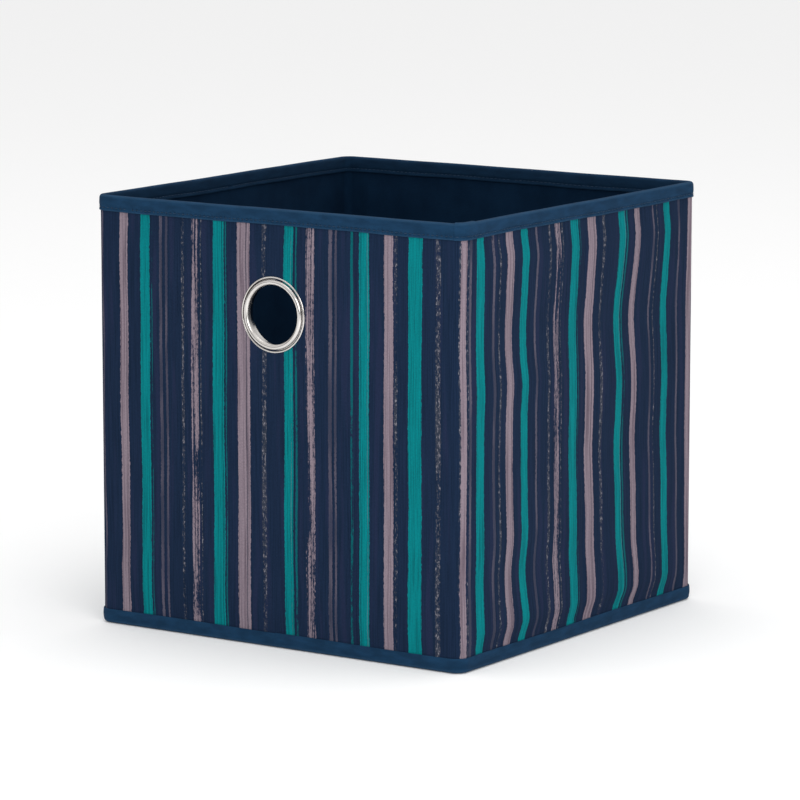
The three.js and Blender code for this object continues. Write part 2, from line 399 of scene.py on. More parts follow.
# The rim tape runs up the outside, over the top and down the inside, and the hems at its edges are
# thicker. Its end is lapped over its start between the two distances of JOIN.
TAPE_HEIGHT = TOP - RIM_LEVEL
TAPE_ROUND = 1.9 * MM
HEM = 0.3 * MM
SEAM_DEPTH = 0.22 * MM
STITCH_HEIGHT = 2.1 * MM
STITCH_PITCH = 3.3 * MM
JOIN = (134 * MM, 151 * MM)
LAP = CLOTH + 0.06 * MM

# The bottom tape starts a little below the CAD binding's top, and turns in under the bin
FOOT_ROUND = 2.4 * MM
UNDER_REACH = 10 * MM


def tape_leg(height):
    """How far a leg of the tape stands off its flat line: a hem, a sewn line and a soft bulge."""
    sewn = bell(height - STITCH_HEIGHT, 0.55 * MM)
    hem = bell(height - 0.7 * MM, 0.9 * MM)
    bulge = ease(height - STITCH_HEIGHT, 2 * MM) * ease(TAPE_HEIGHT - height, 5 * MM)
    return HEM * (0.9 * hem + 0.7 * bulge) - SEAM_DEPTH * sewn


def tape_section():
    """Section of the rim tape: inset from its outer face and height above its lower edge."""
    leg = np.concatenate([np.linspace(0, 4 * MM, 14),
                          np.linspace(4.7 * MM, TAPE_HEIGHT - TAPE_ROUND, 5)])
    turn = np.linspace(0, math.pi / 2, 7)[1:]
    inset = np.concatenate([-tape_leg(leg), TAPE_ROUND * (1 - np.cos(turn))])
    height = np.concatenate([leg, TAPE_HEIGHT - TAPE_ROUND * (1 - np.sin(turn))])
    inset = np.concatenate([inset, RIM_THICKNESS - inset[::-1]])
    return inset, np.concatenate([height, height[::-1]])


def section_steps(section):
    """Distances between a section's neighbouring points."""
    inset, height = section
    return np.hypot(np.diff(inset), np.diff(height))


def on_section(section, v, depth):
    """Inset, height and distance along a section, at place v in its list of points. depth moves
    the place in from the outer face, in shares of the cloth's thickness."""
    inset, height = section
    index = np.arange(len(inset))
    slope_q = np.interp(v, index, np.gradient(inset))
    slope_h = np.interp(v, index, np.gradient(height))
    size = np.hypot(slope_q, slope_h) + 1e-12
    q = np.interp(v, index, inset) + depth * CLOTH * slope_h / size
    h = np.interp(v, index, height) - depth * CLOTH * slope_q / size
    along = np.interp(v, index, np.concatenate([[0], np.cumsum(section_steps(section))]))
    return q, h, along


def tape_wander(u):
    """Small unevenness of the tape's height round the bin."""
    return (0.22 * wave(u, 187 * MM, 0.8) + 0.12 * wave(u, 67 * MM, 2.1)) * MM


def tape_place(u, v, depth):
    """Points of the rim tape, and the tape's own coordinates: round the bin, across the tape, and the
    share of painted shade, 1 on the leg inside the bin."""
    q, h, along = on_section(tape_section(), v, depth)
    low = 1 - ease(h, 6 * MM)
    gather = wave(u, 6.1 * MM, 2.5 * wave(u, 77 * MM)) * 0.05 * MM * np.sign(RIM_THICKNESS / 2 - q)
    z = RIM_LEVEL + h + tape_wander(u) * (0.4 + 0.6 * low)
    # Share of painted shade: the tape's leg inside the bin is painted darker
    inner = ease(along - TAPE_HEIGHT - 2 * MM, 2.5 * MM)
    return wall_points(u, q - gather * low, z), np.stack([u, along, inner], -1)


def build_rim(strip):
    _, _, start, end, _, _ = STRIPS[strip]
    section = tape_section()
    obj = shell(f"rim_binding_{strip}", stations(start, end, 2 * MM), np.arange(len(section[0])),
                tape_place)
    return obj


def build_rim_join():
    """The end of the rim tape, lapped over its start round the front right corner."""
    section = tape_section()

    def place(u, v, depth):
        return tape_place(u, v, depth - LAP / CLOTH)

    obj = shell("rim_binding_join", stations(*JOIN, 1.5 * MM), np.arange(len(section[0])), place)
    return obj


def bottom_section():
    """Section of the bottom tape: inset and height, from its inner edge out under the bottom and
    up the outside."""
    height = np.linspace(BINDING_TOP - 0.6 * MM, FOOT_ROUND, 9)
    bulge = np.sin(np.linspace(0.35, math.pi - 0.5, 9)) * 0.55 * MM
    inset = 0.25 * MM - bulge
    turn = np.linspace(0, math.pi / 2, 7)[1:]
    inset = np.concatenate([inset, inset[-1] + FOOT_ROUND * (1 - np.cos(turn))])
    height = np.concatenate([height, FOOT_ROUND * (1 - np.sin(turn))])
    under = np.linspace(inset[-1], UNDER_REACH, 6)[1:]
    return np.concatenate([inset, under])[::-1], np.concatenate([height, 0 * under])[::-1]


def bottom_place(u, v, depth):
    """Points of the bottom tape, and the tape's own coordinates there."""
    q, h, along = on_section(bottom_section(), v, depth)
    share = ease(h, 5 * MM)
    q = q - 0.08 * MM * wave(u, 8.7 * MM, 2 * wave(u, 91 * MM)) * share
    z = np.maximum(h + 0.2 * MM * wave(u, 143 * MM, 0.5) * share, 0)
    return wall_points(u, q, z), np.stack([u, along, np.zeros_like(u)], -1)


def build_bottom_binding():
    us = stations(0, 4 * BLOCK, 3 * MM)[:-1]
    section = bottom_section()
    obj = shell("bottom_binding_tape", us, np.arange(len(section[0])), bottom_place, closed=True)
    return obj


def rounded_square(name, half, radius, level, top, cell, relief, edge_round=0.0):
    """A flat cloth piece: a closed slab over a grid drawn into a square with round corners."""
    count = int(round(2 * half / cell))
    grid = np.linspace(-half, half, count + 1)
    x, y = np.meshgrid(grid, grid)
    over_x = np.maximum(np.abs(x) - (half - radius), 0)
    over_y = np.maximum(np.abs(y) - (half - radius), 0)
    reach = np.hypot(over_x, over_y)
    square = np.maximum(over_x, over_y)
    scale = np.where(reach > 0, square / np.maximum(reach, 1e-12), 1)
    x = np.sign(x) * (np.minimum(np.abs(x), half - radius) + over_x * scale)
    y = np.sign(y) * (np.minimum(np.abs(y), half - radius) + over_y * scale)
    inside = half - np.maximum(np.abs(x), np.abs(y))
    to_edge = 1 - np.clip(inside / max(edge_round, 1e-9), 0, 1)
    drop = edge_round * (1 - np.sqrt(np.clip(1 - to_edge ** 2, 0, 1)))
    middle = (level + top) / 2
    thinnest = 0.02 * MM
    upper = top - np.minimum(drop, top - middle - thinnest) + relief(x, y)
    lower = level + np.minimum(drop, middle - level - thinnest)
    kept = np.ones((count, count), bool)
    return slab(name, kept, np.stack([x, y, upper], -1), np.stack([x, y, x * 0], -1),
                np.stack([x, y, lower], -1), np.stack([x, y, x * 0 + 1], -1))


def lathe(name, section, steps, face):
    """A ring round the finger hole's axis. section is a closed list of radii and heights off face."""
    points = []
    faces = []
    count = len(section)
    for step in range(steps):
        angle = 2 * math.pi * step / steps
        for radius, height in section:
            rise = radius * math.cos(angle)
            points.append((radius * math.sin(angle), face - height, RING_LEVEL + rise))
    for step in range(steps):
        ahead = (step + 1) % steps
        for i in range(count):
            j = (i + 1) % count
            faces.append((step * count + i, ahead * count + i, ahead * count + j, step * count + j))
    return make_object(name, points, faces)


def arc_points(centre, radius, start, end, count):
    angles = np.radians(np.linspace(start, end, count))
    return [(centre[0] + radius * math.cos(a), centre[1] + radius * math.sin(a)) for a in angles]


def build_face_ring():
    """A rolled bead round the hole, a groove and a thin outer lip. The barrel opens out inside."""
    cover_face = FRONT_COVER[0].y
    barrel_end = RING[1].y - cover_face
    barrel = HOLE_RADIUS + 1.2 * MM
    bead = 1.65 * MM
    lip = 0.6 * MM
    seat = 0.25 * MM
    section = [(barrel - 0.25 * MM, -barrel_end), (barrel, -barrel_end), (barrel, seat)]
    section += [(RING_RADIUS - lip, seat)]
    section += arc_points((RING_RADIUS - lip, seat + lip), lip, -75, 165, 12)
    section += [(RING_RADIUS - 2 * lip - 0.1 * MM, seat + 0.3 * MM)]
    section += arc_points((HOLE_RADIUS + bead, seat + 0.75 * MM), bead, -10, 190, 20)
    section += [(HOLE_RADIUS + 0.25 * MM, -0.6 * MM)]
    obj = lathe("grommet_face_ring_bright", section, 128, cover_face)
    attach(obj, "front")
    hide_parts("grommet_face_ring")
    return obj


def build_back_ring():
    """The flat washer inside the wall, with its edges rounded."""
    low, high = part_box("grommet_back_ring")
    outer = (high.z - low.z) / 2
    bore = HOLE_RADIUS + 1.5 * MM
    thickness = high.y - low.y
    edge = 0.55 * MM
    section = [(bore, 0), (outer - edge, 0)]
    section += arc_points((outer - edge, thickness / 2), thickness / 2, -90, 90, 9)
    section += arc_points((bore + edge, thickness - edge), edge, 90, 180, 5)
    mirrored = [(radius, -height) for radius, height in section][::-1]
    obj = lathe("grommet_back_ring_bright", mirrored, 96, low.y)
    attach(obj, "front")
    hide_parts("grommet_back_ring")
    return obj


def stitch_row(name, strip, inset, outward_side):
    """A row of stitches along the rim tape. Each stitch is a short thread that dives at its ends.
    outward_side is 1 on the tape's outer leg and -1 on its inner one."""
    _, _, start, end, _, _ = STRIPS[strip]
    length = 2.6 * MM
    radius = 0.2 * MM
    rings = 5
    sides = 6
    first = math.ceil((start + length / 2) / STITCH_PITCH)
    count = int((end - length / 2) / STITCH_PITCH - first) + 1
    middles = STITCH_PITCH * (first + np.arange(count))
    share = np.linspace(0, 1, rings)
    u = middles[:, None] + (share[None, :] - 0.5) * length
    proud = (np.sin(math.pi * share) * 0.3 - 0.14) * MM
    size = radius * np.sqrt(np.clip(np.sin(math.pi * (0.04 + 0.92 * share)), 0, 1))
    points = []
    cloth = []
    for k in range(sides):
        angle = 2 * math.pi * k / sides
        lap = LAP * ((u > JOIN[0]) & (u < JOIN[1]))
        out = ((proud + size * math.cos(angle))[None, :] + lap) * outward_side
        z = RIM_LEVEL + STITCH_HEIGHT + tape_wander(u) + (size * math.sin(angle))[None, :]
        points.append(wall_points(u, inset - out, z))
        cloth.append(np.stack([u, z, 0 * u], -1))
    points = np.stack(points, 2).reshape(-1, 3)
    cloth = np.stack(cloth, 2).reshape(-1, 3)
    faces = []
    flip = outward_side < 0
    for stitch in range(count):
        base = stitch * rings * sides
        for ring in range(rings - 1):
            for k in range(sides):
                a = base + ring * sides + k
                b = base + ring * sides + (k + 1) % sides
                quad = (a, b, b + sides, a + sides)
                faces.append(quad if not flip else quad[::-1])
        cap_start = tuple(base + k for k in range(sides))
        cap_end = tuple(base + (rings - 1) * sides + k for k in range(sides))
        faces.append(cap_start[::-1] if not flip else cap_start)
        faces.append(cap_end if not flip else cap_end[::-1])
    return make_object(name, points, faces, cloth)


# ---------------------------------------------------------------- materials

class Nodes:
    """Short hand for building one material's nodes."""

    def __init__(self, name):
        self.material = bpy.data.materials.new(name)
        self.material.use_nodes = True
        self.tree = self.material.node_tree
        self.tree.nodes.clear()
        self.output = self.tree.nodes.new("ShaderNodeOutputMaterial")
        self.shader = self.tree.nodes.new("ShaderNodeBsdfPrincipled")
        self.link(self.shader.outputs[0], self.output.inputs["Surface"])

    def link(self, source, target):
        self.tree.links.new(source, target)

    def put(self, socket, value):
        if isinstance(value, bpy.types.NodeSocket):
            self.link(value, socket)
        else:
            socket.default_value = value

    def math(self, operation, a, b=0.0, c=0.0):
        node = self.tree.nodes.new("ShaderNodeMath")
        node.operation = operation
        for socket, value in zip(node.inputs, (a, b, c)):
            self.put(socket, value)
        return node.outputs[0]

    def length(self, a, b):
        squares = (self.math("MULTIPLY", a, a), self.math("MULTIPLY", b, b))
        return self.math("SQRT", self.math("ADD", *squares))

    def vector_math(self, operation, a, b=(0, 0, 0)):
        node = self.tree.nodes.new("ShaderNodeVectorMath")
        node.operation = operation
        self.put(node.inputs[0], a)
        self.put(node.inputs[1], b)
        return node.outputs[0]

    def attribute(self, name):
        node = self.tree.nodes.new("ShaderNodeAttribute")
        node.attribute_name = name
        return node.outputs["Vector"]

    def split(self, vector):
        node = self.tree.nodes.new("ShaderNodeSeparateXYZ")
        self.put(node.inputs[0], vector)
        return node.outputs

    def join(self, x, y, z=0.0):
        node = self.tree.nodes.new("ShaderNodeCombineXYZ")
        for socket, value in zip(node.inputs, (x, y, z)):
            self.put(socket, value)
        return node.outputs[0]

    def noise(self, vector, scale, detail=2.0, roughness=0.5):
        node = self.tree.nodes.new("ShaderNodeTexNoise")
        self.put(node.inputs["Vector"], vector)
        node.inputs["Scale"].default_value = scale
        node.inputs["Detail"].default_value = detail
        node.inputs["Roughness"].default_value = roughness
        return node.outputs["Fac"]

    def stretched(self, vector, scale, detail=2.0, roughness=0.5):
        """Noise with its own scale along each axis."""
        return self.noise(self.vector_math("MULTIPLY", vector, scale), 1.0, detail, roughness)

    def step(self, value, low, high, to_low=0.0, to_high=1.0):
        """A smooth change from to_low to to_high as value goes from low to high."""
        node = self.tree.nodes.new("ShaderNodeMapRange")
        node.interpolation_type = "SMOOTHSTEP"
        for socket, number in zip(node.inputs, (value, low, high, to_low, to_high)):
            self.put(socket, number)
        return node.outputs[0]

    def mix(self, share, a, b, blend="MIX"):
        node = self.tree.nodes.new("ShaderNodeMix")
        node.data_type = "RGBA"
        node.blend_type = blend
        self.put(node.inputs["Factor"], share)
        for socket, value in zip([s for s in node.inputs if s.type == "RGBA"], (a, b)):
            self.put(socket, value if isinstance(value, bpy.types.NodeSocket) else (*value, 1.0))
        return next(s for s in node.outputs if s.type == "RGBA")

    def bump(self, height, distance, strength=1.0, normal=None):
        node = self.tree.nodes.new("ShaderNodeBump")
        node.inputs["Strength"].default_value = strength
        node.inputs["Distance"].default_value = distance
        self.put(node.inputs["Height"], height)
        if normal is not None:
            self.link(normal, node.inputs["Normal"])
        return node.outputs[0]

    def set(self, **values):
        names = {"color": "Base Color", "roughness": "Roughness", "normal": "Normal",
                 "metallic": "Metallic", "specular": "Specular IOR Level"}
        for key, value in values.items():
            self.put(self.shader.inputs[names[key]], value)


# Printed strokes, in millimetres from the front wall's left edge: middle and width. They run on
# round the right wall, and the back and left walls repeat the front and the right.
TEAL = [(40.1, 7.4), (97.6, 8.6), (151.4, 6.8), (208.4, 7.4), (245.9, 9.8), (296, 8.0), (345, 7.6),
        (402, 8.8), (457, 7.6), (513.5, 7.6)]
THIN_TEAL = [(45.4, 1.4), (103.4, 1.8), (157.2, 2.4), (199.1, 2.6), (408.2, 1.2), (463, 2.4)]
MAUVE = [(23.1, 6.6), (117.1, 9.8), (226.4, 7.0), (279.9, 4.6), (328, 8.0), (422, 9.6),
         (475.5, 6.6), (545.5, 7.0)]
WORN_MAUVE = [(79.1, 6.8), (168, 7.6), (382.5, 7.0)]
THIN_MAUVE = [(5.6, 2.6), (52.6, 3.2), (57, 2.6), (182.9, 3.6), (186.9, 2.6), (285.8, 3.4),
              (310.5, 3.6), (358.5, 3.2), (496, 3.0), (529.5, 3.4)]
SPECKS = [(69.6, 3.6), (83.9, 2.4), (132.6, 4.8), (231.9, 3.6), (262.5, 5.0), (277.2, 2.4),
          (283.6, 2.2), (317, 3.4), (373, 4.2), (387.8, 3.0), (436, 4.6), (501, 2.6)]
BARE_LINES = [(25, 0.8), (100.5, 0.9), (119.2, 1.3), (154.9, 0.7), (205.9, 0.8), (330.6, 0.9),
              (404.7, 0.8), (424.2, 1.0), (477, 0.8)]
PALE_LINES = [(210.9, 0.9), (153.2, 0.7), (460.2, 0.8)]
FRONT_EDGE = 140.0
REPEAT = HALF_WAY / MM

# How far above and below its limit the brush's grain fades from bare to painted
PAINT_EDGE = 0.045

# Paints of the print
NAVY = (0.0105, 0.0240, 0.0590)
NAVY_DARK = (0.0060, 0.0160, 0.0400)
NAVY_VIOLET = (0.0165, 0.0250, 0.0640)
BARE = (0.0040, 0.0140, 0.0360)
TEAL_PAINT = (0.0005, 0.2200, 0.2400)
TEAL_DEEP = (0.0003, 0.1250, 0.1420)
MAUVE_PAINT = (0.2700, 0.2150, 0.2550)
MAUVE_DEEP = (0.1450, 0.1100, 0.1400)
FAINT_PAINT = (0.1500, 0.1300, 0.1700)
PALE_PAINT = (0.2700, 0.2600, 0.3000)
SMUDGE = (0.0500, 0.0560, 0.0740)
FUZZ_DARKER = (0.88, 0.89, 0.90)
FUZZ_LIGHTER = (1.08, 1.07, 1.06)
# Painted shade in the printed cloth's low places between fibres and pressed dots
PRINT_PIT_SHADE = (0.002, 0.006, 0.016)

# Colours of the other materials. The pit colours are painted shade in the low places between fibres and
# threads.
LINING_DARK = (0.0018, 0.0125, 0.0340)
LINING_LIGHT = (0.0036, 0.0200, 0.0500)
LINING_PIT_SHADE = (0.001, 0.003, 0.007)
TAPE_DARK = (0.0060, 0.0310, 0.0730)
TAPE_LIGHT = (0.0100, 0.0470, 0.1080)
# Paler colour along the tape's top fold and its lower hem
TAPE_PALE_EDGES = (0.034, 0.090, 0.165)
# Painted shade on the rim tape's leg inside the bin
TAPE_INSIDE_SHADE = (0.0015, 0.0080, 0.0220)
TAPE_PIT_SHADE = (0.003, 0.014, 0.035)
# Painted shade and painted highlight of the sewing thread's twist
THREAD_SHADED = (0.0055, 0.0230, 0.0560)
THREAD_LIT = (0.0135, 0.0560, 0.1250)
PLATING_DARK = (0.66, 0.63, 0.60)
PLATING_LIGHT = (0.74, 0.715, 0.69)
# Painted shade in the face ring's groove
GROOVE_SHADE = (0.07, 0.055, 0.045)
BOARD_DARK = (0.25, 0.18, 0.11)
BOARD_LIGHT = (0.40, 0.30, 0.19)
BOARD_FLECK = (0.12, 0.085, 0.055)
FLOOR_DARK = (0.94, 0.94, 0.94)
FLOOR_LIGHT = (0.96, 0.96, 0.96)

# Rows and columns of the bonded cloth's pressed dots, and the tape's ribs and threads
DOT_ROW = 0.95 * MM
DOT_COLUMN = 1.1 * MM
RIB_PITCH = 0.62 * MM
THREAD_PITCH = 0.55 * MM

# Where painted shade darkens the face ring's plating, in the groove between its bead and its lip
GROOVE_RADIUS = RING_RADIUS - 1.45 * MM


def nearest_stroke(n, place, strokes):
    """How far inside the nearest of the strokes a point lies, in millimetres, below 0 outside."""
    found = None
    for first in range(0, len(strokes), 3):
        three = strokes[first:first + 3]
        three = three + [three[-1]] * (3 - len(three))
        middles = tuple(float(middle) for middle, _ in three)
        halves = tuple(width / 2 for _, width in three)
        away = n.vector_math("ABSOLUTE", n.vector_math("SUBTRACT", place, middles))
        inside = n.vector_math("SUBTRACT", halves, away)
        found = inside if found is None else n.vector_math("MAXIMUM", found, inside)
    x, y, z = n.split(found)
    return n.math("MAXIMUM", n.math("MAXIMUM", x, y), z)


def nonwoven_height(n, at):
    """Spun-bonded cloth: rows of tiny pressed dots over short fibres. Returns 0 to 1."""
    u, z, _ = n.split(at)
    row = n.math("MULTIPLY", z, 1 / DOT_ROW)
    odd = n.math("MULTIPLY", n.math("MODULO", n.math("FLOOR", row), 2.0), 0.5)
    column = n.math("ADD", n.math("MULTIPLY", u, 1 / DOT_COLUMN), odd)
    across = n.math("SUBTRACT", n.math("FRACT", column), 0.5)
    up = n.math("SUBTRACT", n.math("FRACT", row), 0.5)
    dot = n.length(across, up)
    pressed = n.step(dot, 0.16, 0.34)
    fibres = n.stretched(at, (2600, 4200, 0), 3.0, 0.6)
    return n.math("MULTIPLY_ADD", fibres, 0.55, n.math("MULTIPLY", pressed, 0.45))


def printed_cloth():
    """Navy cloth printed with brushed strokes, some of them dry and broken up."""
    n = Nodes("printed_cloth")
    at = n.attribute("cloth_at")
    mm = n.vector_math("MULTIPLY", at, (1000, 1000, 0))
    u, _, _ = n.split(mm)
    place = n.math("MODULO", n.math("ADD", u, FRONT_EDGE + REPEAT), REPEAT)
    # Noises over the cloth's millimetres, drawn out along the strokes by the smaller second scale
    slow = n.stretched(mm, (0.05, 0.012, 0), 2.0)
    ragged = n.stretched(mm, (0.5, 0.34, 0), 4.0, 0.65)
    streaks = n.stretched(mm, (1.5, 0.020, 0), 4.0, 0.65)
    grain = n.stretched(mm, (0.95, 0.50, 0), 4.0, 0.74)
    dry_here = n.stretched(mm, (0.09, 0.016, 0), 2.0)
    broad = n.stretched(mm, (0.16, 0.008, 0), 3.0)
    flecks = n.stretched(mm, (0.82, 0.30, 0), 3.0, 0.85)
    bands = n.stretched(mm, (0.85, 0.011, 0), 3.0, 0.62)
    brush = n.math("MULTIPLY_ADD", streaks, 0.42, n.math("MULTIPLY", grain, 0.58))
    worn = n.math("MULTIPLY_ADD", bands, 0.6, n.math("MULTIPLY", flecks, 0.4))
    wander = n.math("MULTIPLY", n.math("SUBTRACT", slow, 0.5), 1.6)
    place = n.math("ADD", place, wander)
    spread = n.join(place, place, place)
    drier = n.math("MULTIPLY", n.math("SUBTRACT", dry_here, 0.5), 0.9)

    def stroke(strokes, dryness, raggedness, softness, grain_of_brush):
        """Where one kind of stroke has left paint. A dry brush leaves it only on the high grain."""
        edge = n.math("MULTIPLY", n.math("SUBTRACT", ragged, 0.5), raggedness)
        inside = n.math("ADD", nearest_stroke(n, spread, strokes), edge)
        bare = n.step(inside, -softness, softness, 1.0, 0.0)
        dry = n.math("MAXIMUM", n.math("ADD", drier, dryness), dryness * dryness)
        limit = n.math("MULTIPLY_ADD", dry, 0.62, n.math("SUBTRACT", bare, 0.06))
        low, high = n.math("SUBTRACT", limit, PAINT_EDGE), n.math("ADD", limit, PAINT_EDGE)
        return n.step(grain_of_brush, low, high)

    ground = n.mix(n.step(streaks, 0.34, 0.62), NAVY_DARK, NAVY)
    ground = n.mix(n.step(broad, 0.50, 0.66, 0.0, 0.75), ground, NAVY_VIOLET)
    teal_shade = n.mix(n.step(streaks, 0.36, 0.56), TEAL_DEEP, TEAL_PAINT)
    mauve_shade = n.mix(n.step(bands, 0.34, 0.55), MAUVE_DEEP, MAUVE_PAINT)
    mauve_shade = n.mix(n.step(flecks, 0.60, 0.70, 0.0, 0.55), mauve_shade, MAUVE_DEEP)

    fade = n.step(dry_here, 0.40, 0.60, 0.26, 0.66)
    # The print's layers from the lowest up: strokes, dryness, raggedness and softness of the edge,
    # grain of the brush, share of the paint that covers (None for all of it), and paint
    layers = [
        (THIN_MAUVE, 0.70, 1.0, 0.9, brush, fade, FAINT_PAINT),
        (THIN_TEAL, 0.80, 0.8, 0.6, worn, 0.85, TEAL_DEEP),
        (SPECKS, 0.85, 1.8, 1.1, flecks, 0.65, SMUDGE),
        (SPECKS, 1.015, 1.6, 1.1, flecks, 0.90, PALE_PAINT),
        (MAUVE, 0.30, 2.0, 0.6, brush, None, mauve_shade),
        (WORN_MAUVE, 0.93, 2.0, 0.8, worn, None, mauve_shade),
        (TEAL, 0.12, 1.7, 0.5, brush, None, teal_shade),
        (PALE_LINES, 0.75, 0.4, 0.4, brush, 0.45, FAINT_PAINT),
        (BARE_LINES, 0.62, 0.6, 0.4, brush, 0.6, BARE),
    ]
    color = ground
    for *look, covers, paint in layers:
        painted = stroke(*look)
        if covers is not None:
            painted = n.math("MULTIPLY", painted, covers)
        color = n.mix(painted, color, paint)
    fuzz = n.stretched(mm, (0.7, 0.8, 0), 5.0, 0.75)
    fuzzy = n.mix(n.step(fuzz, 0.30, 0.70), FUZZ_DARKER, FUZZ_LIGHTER)
    color = n.mix(1.0, color, fuzzy, "MULTIPLY")
    bonded = nonwoven_height(n, at)
    # Painted shade in the low places between the fibres and pressed dots
    color = n.mix(n.step(bonded, 0.25, 0.6, 0.20, 0.0), color, PRINT_PIT_SHADE)
    normal = n.bump(bonded, 0.07 * MM, 0.9)
    n.set(color=color, roughness=n.step(bonded, 0.1, 0.9, 0.80, 0.94), normal=normal, specular=0.08)
    return n.material


def lining_cloth():
    """Plain dark navy cloth, slightly mottled."""
    n = Nodes("lining_cloth")
    at = n.attribute("cloth_at")
    mottle = n.stretched(at, (26, 20, 0), 4.0, 0.6)
    color = n.mix(n.step(mottle, 0.3, 0.7), LINING_DARK, LINING_LIGHT)
    bonded = nonwoven_height(n, at)
    # Painted shade in the low places between the fibres and pressed dots
    color = n.mix(n.step(bonded, 0.25, 0.6, 0.35, 0.0), color, LINING_PIT_SHADE)
    n.set(color=color, roughness=n.step(bonded, 0.1, 0.9, 0.82, 0.95), normal=n.bump(bonded, 0.07 * MM),
          specular=0.08)
    return n.material


def binding_tape():
    """Plain blue tape with fine cross ribs, paler along its top fold and its lower hem. Painted shade
    darkens its leg inside the bin and the low places between its threads.
    """
    n = Nodes("binding_tape")
    at = n.attribute("cloth_at")
    u, v, inner = n.split(at)
    ribs = n.math("SINE", n.math("MULTIPLY", u, 2 * math.pi / RIB_PITCH))
    threads = n.math("SINE", n.math("MULTIPLY", v, 2 * math.pi / THREAD_PITCH))
    weave = n.math("MULTIPLY_ADD", n.math("MULTIPLY", ribs, threads), 0.5, 0.5)
    fuzz = n.stretched(at, (3000, 3000, 0), 3.0, 0.6)
    height = n.math("MULTIPLY_ADD", fuzz, 0.5, n.math("MULTIPLY", weave, 0.5))
    mottle = n.stretched(at, (70, 200, 0), 4.0, 0.6)
    off_row = n.math("ABSOLUTE", n.math("SUBTRACT", v, STITCH_HEIGHT))
    pull = n.step(off_row, 0.3 * MM, 1.8 * MM, 1.0, 0.0)
    beat = n.math("SINE", n.math("MULTIPLY", u, 2 * math.pi / STITCH_PITCH))
    dimples = n.math("MULTIPLY", pull, n.math("MULTIPLY_ADD", beat, 0.5, 0.5))
    color = n.mix(n.step(mottle, 0.3, 0.72), TAPE_DARK, TAPE_LIGHT)
    # Paler along the top fold and along the lower hem
    off_fold = n.math("ABSOLUTE", n.math("SUBTRACT", v, TAPE_HEIGHT))
    fold = n.step(off_fold, 0.3 * MM, 1.6 * MM, 0.30, 0.0)
    hem = n.step(v, 0.4 * MM, 1.1 * MM, 0.18, 0.0)
    color = n.mix(n.math("MAXIMUM", fold, hem), color, TAPE_PALE_EDGES)
    # Painted shade darkens the tape's leg inside the bin
    color = n.mix(n.math("MULTIPLY", inner, 0.5), color, TAPE_INSIDE_SHADE)
    # Painted shade in the low places between the threads
    color = n.mix(n.step(height, 0.2, 0.6, 0.35, 0.0), color, TAPE_PIT_SHADE)
    soft = n.bump(dimples, 0.35 * MM, 0.8)
    n.set(color=color, roughness=n.step(height, 0.1, 0.9, 0.74, 0.9), specular=0.10,
          normal=n.bump(height, 0.09 * MM, 1.0, soft))
    return n.material


def thread():
    """Twisted sewing thread, painted darker in the grooves of its twist and lighter on its crests:
    painted shade and highlight.
    """
    n = Nodes("sewing_thread")
    at = n.attribute("cloth_at")
    u, z, _ = n.split(at)
    climb = n.math("MULTIPLY", z, 2 * math.pi / (0.4 * MM))
    lay = n.math("MULTIPLY_ADD", u, 2 * math.pi / (0.5 * MM), climb)
    twist = n.math("MULTIPLY_ADD", n.math("SINE", lay), 0.5, 0.5)
    # Painted shade in the twist's grooves and painted highlight on its crests
    color = n.mix(twist, THREAD_SHADED, THREAD_LIT)
    n.set(color=color, roughness=n.step(twist, 0.0, 1.0, 0.5, 0.65), normal=n.bump(twist, 0.05 * MM),
          specular=0.4)
    return n.material


def bright_ring():
    """Bright plating with faint hairlines and a little haze, painted shade in the groove between bead
    and lip, and a satin barrel.
    """
    n = Nodes("bright_ring")
    coords = n.tree.nodes.new("ShaderNodeTexCoord").outputs["Object"]
    haze = n.noise(coords, 130.0, 3.0, 0.6)
    hair = n.stretched(coords, (900, 900, 2600), 3.0, 0.6)
    x, _, z = n.split(n.vector_math("SUBTRACT", coords, (0, 0, RING_LEVEL)))
    reach = n.length(x, z)
    off_groove = n.math("ABSOLUTE", n.math("SUBTRACT", reach, GROOVE_RADIUS))
    color = n.mix(n.step(haze, 0.3, 0.7), PLATING_DARK, PLATING_LIGHT)
    # Painted shade in the groove between the bead and the lip
    color = n.mix(n.step(off_groove, 0.15 * MM, 0.6 * MM, 0.85, 0.0), color, GROOVE_SHADE)
    satin = n.step(reach, HOLE_RADIUS + 0.15 * MM, HOLE_RADIUS + 0.9 * MM, 0.42, 0.0)
    roughness = n.math("MAXIMUM", n.step(haze, 0.3, 0.75, 0.10, 0.20), satin)
    n.set(color=color, roughness=roughness, normal=n.bump(hair, 0.004 * MM, 0.4), metallic=1.0)
    return n.material


def chipboard():
    """Grey-brown board of pressed fibres with dark flecks."""
    n = Nodes("chipboard")
    coords = n.tree.nodes.new("ShaderNodeTexCoord").outputs["Object"]
    fibres = n.stretched(coords, (500, 500, 160), 5.0, 0.65)
    flecks = n.noise(coords, 260.0, 2.0)
    color = n.mix(n.step(fibres, 0.3, 0.7), BOARD_DARK, BOARD_LIGHT)
    color = n.mix(n.step(flecks, 0.62, 0.72, 0.0, 0.5), color, BOARD_FLECK)
    n.set(color=color, roughness=n.step(fibres, 0.2, 0.8, 0.78, 0.92), normal=n.bump(fibres, 0.08 * MM),
          specular=0.3)
    return n.material


def floor_paper():
    """White paper that glows a little, so that the studio's floor stays pale."""
    n = Nodes("floor_paper")
    coords = n.tree.nodes.new("ShaderNodeTexCoord").outputs["Object"]
    grain = n.noise(coords, 40.0, 2.0)
    n.set(color=n.mix(grain, FLOOR_DARK, FLOOR_LIGHT), roughness=0.9, specular=0.1)
    n.shader.inputs["Emission Color"].default_value = (1, 1, 1, 1)
    n.shader.inputs["Emission Strength"].default_value = 0.10
    return n.material


# ---------------------------------------------------------------- the bin

